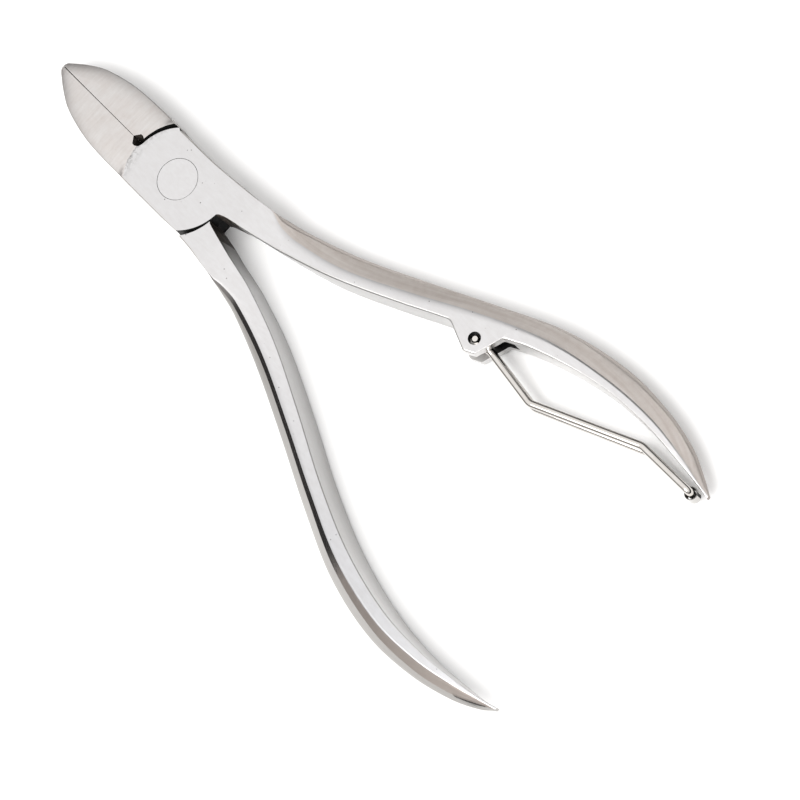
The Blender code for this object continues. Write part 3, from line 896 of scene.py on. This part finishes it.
def make_materials():
    # A near black that paints the shade in the lap gap, at the plate's ends, in the bores and holes, and the dark
    # reflection on the roller
    painted_gap_shade = (0.012, 0.012, 0.012)
    return {
        "plate": steel(
            "plate_satin", (0.53, 0.526, 0.53), 0.36, (2.4, 0.5, 2.4), 0.035, 0.05, 0.002, 0.5, ridge_wear_and_painted_shade
        ),
        "jaw": steel(
            "jaw_ground", (0.568, 0.554, 0.545), 0.40, (0.2, 2.2, 2.2), 0.065, 0.06, 0.004, change=ground_patches_and_painted_shade
        ),
        "side": steel("jaw_side", (0.41, 0.395, 0.38), 0.36, (0.3, 0.3, 2.5), 0.05),
        "brushed": steel(
            "bevel_brushed", (0.645, 0.604, 0.573), 0.48, (0.06, 0.05, 3.2), 0.11, depth=0.005, change=painted_shade_when_steep
        ),
        "arc": steel(
            "bevel_polished",
            (0.36, 0.352, 0.342),
            0.18,
            (0.02, 0.05, 3.0),
            0.06,
            0.03,
            0.001,
            change=painted_shade_near_joint,
        ),
        "facet": steel(
            "facet_polished", (0.41, 0.395, 0.385), 0.09, (0.02, 0.05, 4.0), 0.06, 0.02, 0.0015, change=ground_end
        ),
        "inner_lug": steel(
            "inner_side_lug", (0.60, 0.597, 0.593), 0.30, (0.3, 0.06, 2.0), change=lug_inner_painted_shade
        ),
        "inner_plain": steel(
            "inner_side_plain", (0.585, 0.582, 0.578), 0.32, (0.3, 0.06, 2.0), change=plain_inner_painted_shade
        ),
        "edge": steel("lap_edge", painted_gap_shade, 0.5, (1.0, 1.0, 1.0), change=joint_scale_and_painted_shade, metallic=0.0),
        "milled": steel("milled_gap", painted_gap_shade, 0.5, (1.0, 1.0, 0.2), metallic=0.0),
        "slot": steel("slot_satin", (0.50, 0.495, 0.49), 0.42, (1.0, 1.0, 1.0), 0.08, change=slot_painted_shade),
        "rivet": steel("rivet_satin", (0.54, 0.536, 0.54), 0.34, (2.0, 0.8, 2.0), 0.035, 0.04, 0.002),
        "wire": steel("wire_polished", (0.57, 0.55, 0.525), 0.06, (0.3, 0.3, 0.3), 0.05, 0.015, 0.001),
        "roller": steel("roller_polished", (0.50, 0.49, 0.475), 0.16, (0.3, 0.3, 2.0), 0.05, 0.04, 0.001),
    }


# Pieces.


def make_levers(made):
    # The bore, lap and hole cutters carry the near black milled material, which paints shade on the faces they
    # leave: the rivet's bore, the lap gap's shoulders and the bail's hole.
    bore = add_object("cut_bore", turned("cut_bore", rivet_profile(RUNNING_GAP)), [made["milled"]])
    below = [(SHOULDER_RADIUS, -CUT_PAST), (SHOULDER_RADIUS, MID + LAP_GAP / 2)]
    above = [(SHOULDER_RADIUS, MID - LAP_GAP / 2), (SHOULDER_RADIUS, THICKNESS + CUT_PAST)]
    lap_below = add_object("cut_lap_below", turned("cut_lap_below", below, steps=256), [made["milled"]])
    lap_above = add_object("cut_lap_above", turned("cut_lap_above", above, steps=256), [made["milled"]])
    slot_outline = rounded_route(SLOT_CORNERS, 6)
    slot = add_object("cut_slot", prism("cut_slot", slot_outline, SLOT_LOW, SLOT_HIGH), [made["slot"]])
    hole_profile = [(BAIL_HOLE_RADIUS, -CUT_PAST), (BAIL_HOLE_RADIUS, THICKNESS + CUT_PAST)]
    hole = add_object("cut_hole", turned("cut_hole", hole_profile, BAIL_PIVOT, 48), [made["milled"]])
    top_space = grinding_mesh("cut_top", GRIND_TOP, THICKNESS, THICKNESS + 2 * CUT_PAST)
    top = add_object("cut_top", top_space, [made["jaw"]])
    bottom_space = grinding_mesh("cut_bottom", GRIND_BOTTOM, 0.0, -2 * CUT_PAST)
    bottom = add_object("cut_bottom", bottom_space, [made["jaw"]])

    lug = rounded_route(LUG_CORNERS, 10)
    lug_handle = handle_columns(LUG_HANDLE, lug, LUG_EDGE, LUG_FACET_SLOPE)
    plain_handle = handle_columns(PLAIN_HANDLE, (), PLAIN_EDGE, PLAIN_FACET_SLOPE)
    lug_mesh = lever_mesh("lug_blank", -1, JAW_SIDE_OF_LUG_LEVER, LUG_CROTCH, lug_handle, SLOT_BEVEL)
    plain_mesh = lever_mesh("plain_blank", 1, JAW_SIDE_OF_PLAIN_LEVER, PLAIN_CROTCH, plain_handle, SLOT_FACET)
    # The lists follow the slots. A blank has none of its cutters' materials, so no slot is there twice.
    lug_materials = [made[k] for k in ("plate", "side", "brushed", "inner_lug", "edge")]
    plain_materials = [made[k] for k in ("plate", "side", "arc", "inner_plain", "edge", "facet")]
    lug_blank = add_object("lug_blank", lug_mesh, lug_materials)
    plain_blank = add_object("plain_blank", plain_mesh, plain_materials)
    lug_lever = milled(lug_blank, [top, bottom, lap_below, bore, slot, hole], "lug_lever")
    plain_lever = milled(plain_blank, [top, bottom, lap_above, bore], "plain_lever")
    for used in (top, bottom, bore, lap_below, lap_above, slot, hole):
        bpy.data.objects.remove(used, do_unlink=True)
    place_piece(lug_lever, "lug_lever_body", "lever_with_lug")
    place_piece(plain_lever, "plain_lever_body", "lever_plain")


def place_piece(piece, body, node):
    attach(piece, body)
    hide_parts(node)


def make_rivet(made):
    rivet = add_object("rivet", turned("rivet", rivet_profile(0.0)), [made["rivet"]])
    finish_mesh(rivet.data, TURNED_CREASE)
    even_normals(rivet)
    place_piece(rivet, "lug_lever_body", "pivot_rivet")


def bail_route():
    start = UPPER_LEG[0]
    upper = [(start[0], start[1], WIRE_END_Z, 0.0)] + list(UPPER_LEG)
    lower = [(x, y, THICKNESS - z, radius) for x, y, z, radius in reversed(upper)]
    return rounded_route(upper + lower, 14)


def make_bail(made):
    bail = add_object("bail", tube("bail", bail_route(), WIRE_RADIUS), [made["wire"]])
    finish_mesh(bail.data, WIRE_CREASE)
    place_piece(bail, "bail_body", "wire_bail")


def make_roller(made):
    low, high = MID - ROLLER_LENGTH / 2, MID + ROLLER_LENGTH / 2
    profile = [
        (ROLLER_BORE, low + ROLLER_BREAK),
        (ROLLER_BORE + ROLLER_BREAK, low),
        (ROLLER_RADIUS - ROLLER_BREAK, low),
        (ROLLER_RADIUS, low + ROLLER_BREAK),
        (ROLLER_RADIUS, high - ROLLER_BREAK),
        (ROLLER_RADIUS - ROLLER_BREAK, high),
        (ROLLER_BORE + ROLLER_BREAK, high),
        (ROLLER_BORE, high - ROLLER_BREAK),
    ]
    centre = UPPER_LEG[-1][:2]
    mesh = turned("roller", profile, centre, 64, closed_ring=True)
    roller = add_object("roller", mesh, [made["roller"], made["milled"]])
    axis = Vector(centre) * MM

    def in_dark_patch(place):
        angle = math.degrees(math.atan2(place.y - axis.y, place.x - axis.x))
        return (place.xy - axis).length > DARK_PATCH_OUTSIDE * MM and abs(angle - DARK_PATCH_ANGLE) < DARK_PATCH_HALF

    # The bore's faces take the near black as painted shade, and the patch's faces as a painted dark reflection.
    for polygon in mesh.polygons:
        bored = (polygon.center.xy - axis).length < ROLLER_BORE * MM
        polygon.material_index = 1 if bored or in_dark_patch(polygon.center) else 0
    for vertex in mesh.vertices:
        if in_dark_patch(vertex.co):
            vertex.co.xy = axis + (vertex.co.xy - axis) * DARK_PATCH_SINK
    finish_mesh(mesh, TURNED_CREASE)
    place_piece(roller, "roller_body", "bail_roller")


# Studio.

CAMERA_AZIMUTH = 4.0
CAMERA_ELEVATION = 65.55
CAMERA_ROLL = 49.66
CAMERA_DISTANCE = 742.4
CAMERA_TARGET = (-0.155, -56.76, 3.5)
CAMERA_LENS = 202.5
CAMERA_SENSOR = 36.0

FLOOR_HALF = 4000.0
FLOOR_Z = -0.02
BACKDROP = (0.93, 0.93, 0.93, 1.0)
# Elevation, as its sine, and the studio's brightness there.
SKY = ((0.0, 0.05), (0.30, 0.09), (0.45, 0.66), (0.70, 1.38), (0.90, 1.50), (1.0, 1.52))
SKY_TINT = (1.0, 0.993, 0.988)
SKY_TILT = -0.13  # the room is darker on the +X side
# The key light, in metres and watts.
KEY_PLACE = (-0.46, -0.19, 0.78)
KEY_TARGET = (0.0, -0.04, 0.0)
KEY_SIZE = 0.74
KEY_POWER = 7.4


def make_camera():
    azimuth, elevation, roll = (math.radians(a) for a in (CAMERA_AZIMUTH, CAMERA_ELEVATION, CAMERA_ROLL))
    flat = math.cos(elevation)
    back = Vector((math.sin(azimuth) * flat, -math.cos(azimuth) * flat, math.sin(elevation)))
    level = Vector((math.cos(azimuth), math.sin(azimuth), 0.0))
    upright = back.cross(level)
    right = math.cos(roll) * level - math.sin(roll) * upright
    up = math.sin(roll) * level + math.cos(roll) * upright
    place = (Vector(CAMERA_TARGET) + back * CAMERA_DISTANCE) * MM
    data = bpy.data.cameras.new("camera")
    data.lens = CAMERA_LENS
    data.sensor_width = CAMERA_SENSOR
    data.clip_start = 0.05
    data.clip_end = 20.0
    camera = bpy.data.objects.new("camera", data)
    camera.matrix_world = Matrix(
        (
            (right.x, up.x, back.x, place.x),
            (right.y, up.y, back.y, place.y),
            (right.z, up.z, back.z, place.z),
            (0.0, 0.0, 0.0, 1.0),
        )
    )
    bpy.context.scene.collection.objects.link(camera)
    bpy.context.scene.camera = camera


def make_floor():
    corners = [(x * FLOOR_HALF, y * FLOOR_HALF, FLOOR_Z) for x, y in ((-1, -1), (1, -1), (1, 1), (-1, 1))]
    mesh = mesh_of("floor", corners, [[0, 1, 2, 3]])
    material = bpy.data.materials.new("pale_table")
    material.use_nodes = True
    tree = material.node_tree
    shader = tree.nodes["Principled BSDF"]
    place = add_node(tree, "ShaderNodeTexCoord").outputs["Object"]
    tone = noise_at(tree, place, (0.02, 0.02, 0.02))
    colour = mixed(tree, tone, (0.88, 0.88, 0.88), (0.90, 0.90, 0.90))
    tree.links.new(colour, shader.inputs["Base Color"])
    shader.inputs["Roughness"].default_value = 0.9
    shader.inputs["Specular IOR Level"].default_value = 0.1
    floor = add_object("floor", mesh, [material])


def make_world():
    """A bright ceiling that falls off to a dark room behind the table. The camera sees a pale backdrop."""
    world = bpy.data.worlds.new("studio")
    bpy.context.scene.world = world
    world.use_nodes = True
    tree = world.node_tree
    tree.nodes.clear()
    direction = add_node(tree, "ShaderNodeTexCoord").outputs["Generated"]
    apart = add_node(tree, "ShaderNodeSeparateXYZ", (("Vector", direction),)).outputs
    height = maths(tree, "ADD", apart["Z"], maths(tree, "MULTIPLY", apart["X"], SKY_TILT))
    ramp = add_node(tree, "ShaderNodeValToRGB", (("Fac", height),))
    stops = ramp.color_ramp.elements
    while len(stops) < len(SKY):
        stops.new(0.5)
    for stop, (sine, brightness) in zip(stops, SKY):
        stop.position = sine
        stop.color = (*(brightness * tint for tint in SKY_TINT), 1.0)
    seen = add_node(tree, "ShaderNodeBackground", (("Color", BACKDROP), ("Strength", 1.0)))
    studio = add_node(tree, "ShaderNodeBackground", (("Color", ramp.outputs["Color"]), ("Strength", 1.0)))
    path = add_node(tree, "ShaderNodeLightPath")
    mix = add_node(
        tree,
        "ShaderNodeMixShader",
        ((0, path.outputs["Is Camera Ray"]), (1, studio.outputs[0]), (2, seen.outputs[0])),
    )
    add_node(tree, "ShaderNodeOutputWorld", (("Surface", mix.outputs[0]),))


def make_key_light():
    data = bpy.data.lights.new("key_softbox", "AREA")
    data.shape = "DISK"
    data.size = KEY_SIZE
    data.energy = KEY_POWER
    data.color = (1.0, 0.995, 0.985)
    light = bpy.data.objects.new("key_softbox", data)
    light.location = KEY_PLACE
    aim = Vector(KEY_TARGET) - Vector(KEY_PLACE)
    light.rotation_mode = "QUATERNION"
    light.rotation_quaternion = aim.to_track_quat("-Z", "Y")
    bpy.context.scene.collection.objects.link(light)


def set_colours():
    bpy.context.scene.view_settings.view_transform = "Standard"


materials = make_materials()
make_levers(materials)
make_rivet(materials)
make_bail(materials)
make_roller(materials)
make_camera()
make_floor()
make_world()
make_key_light()
set_colours()
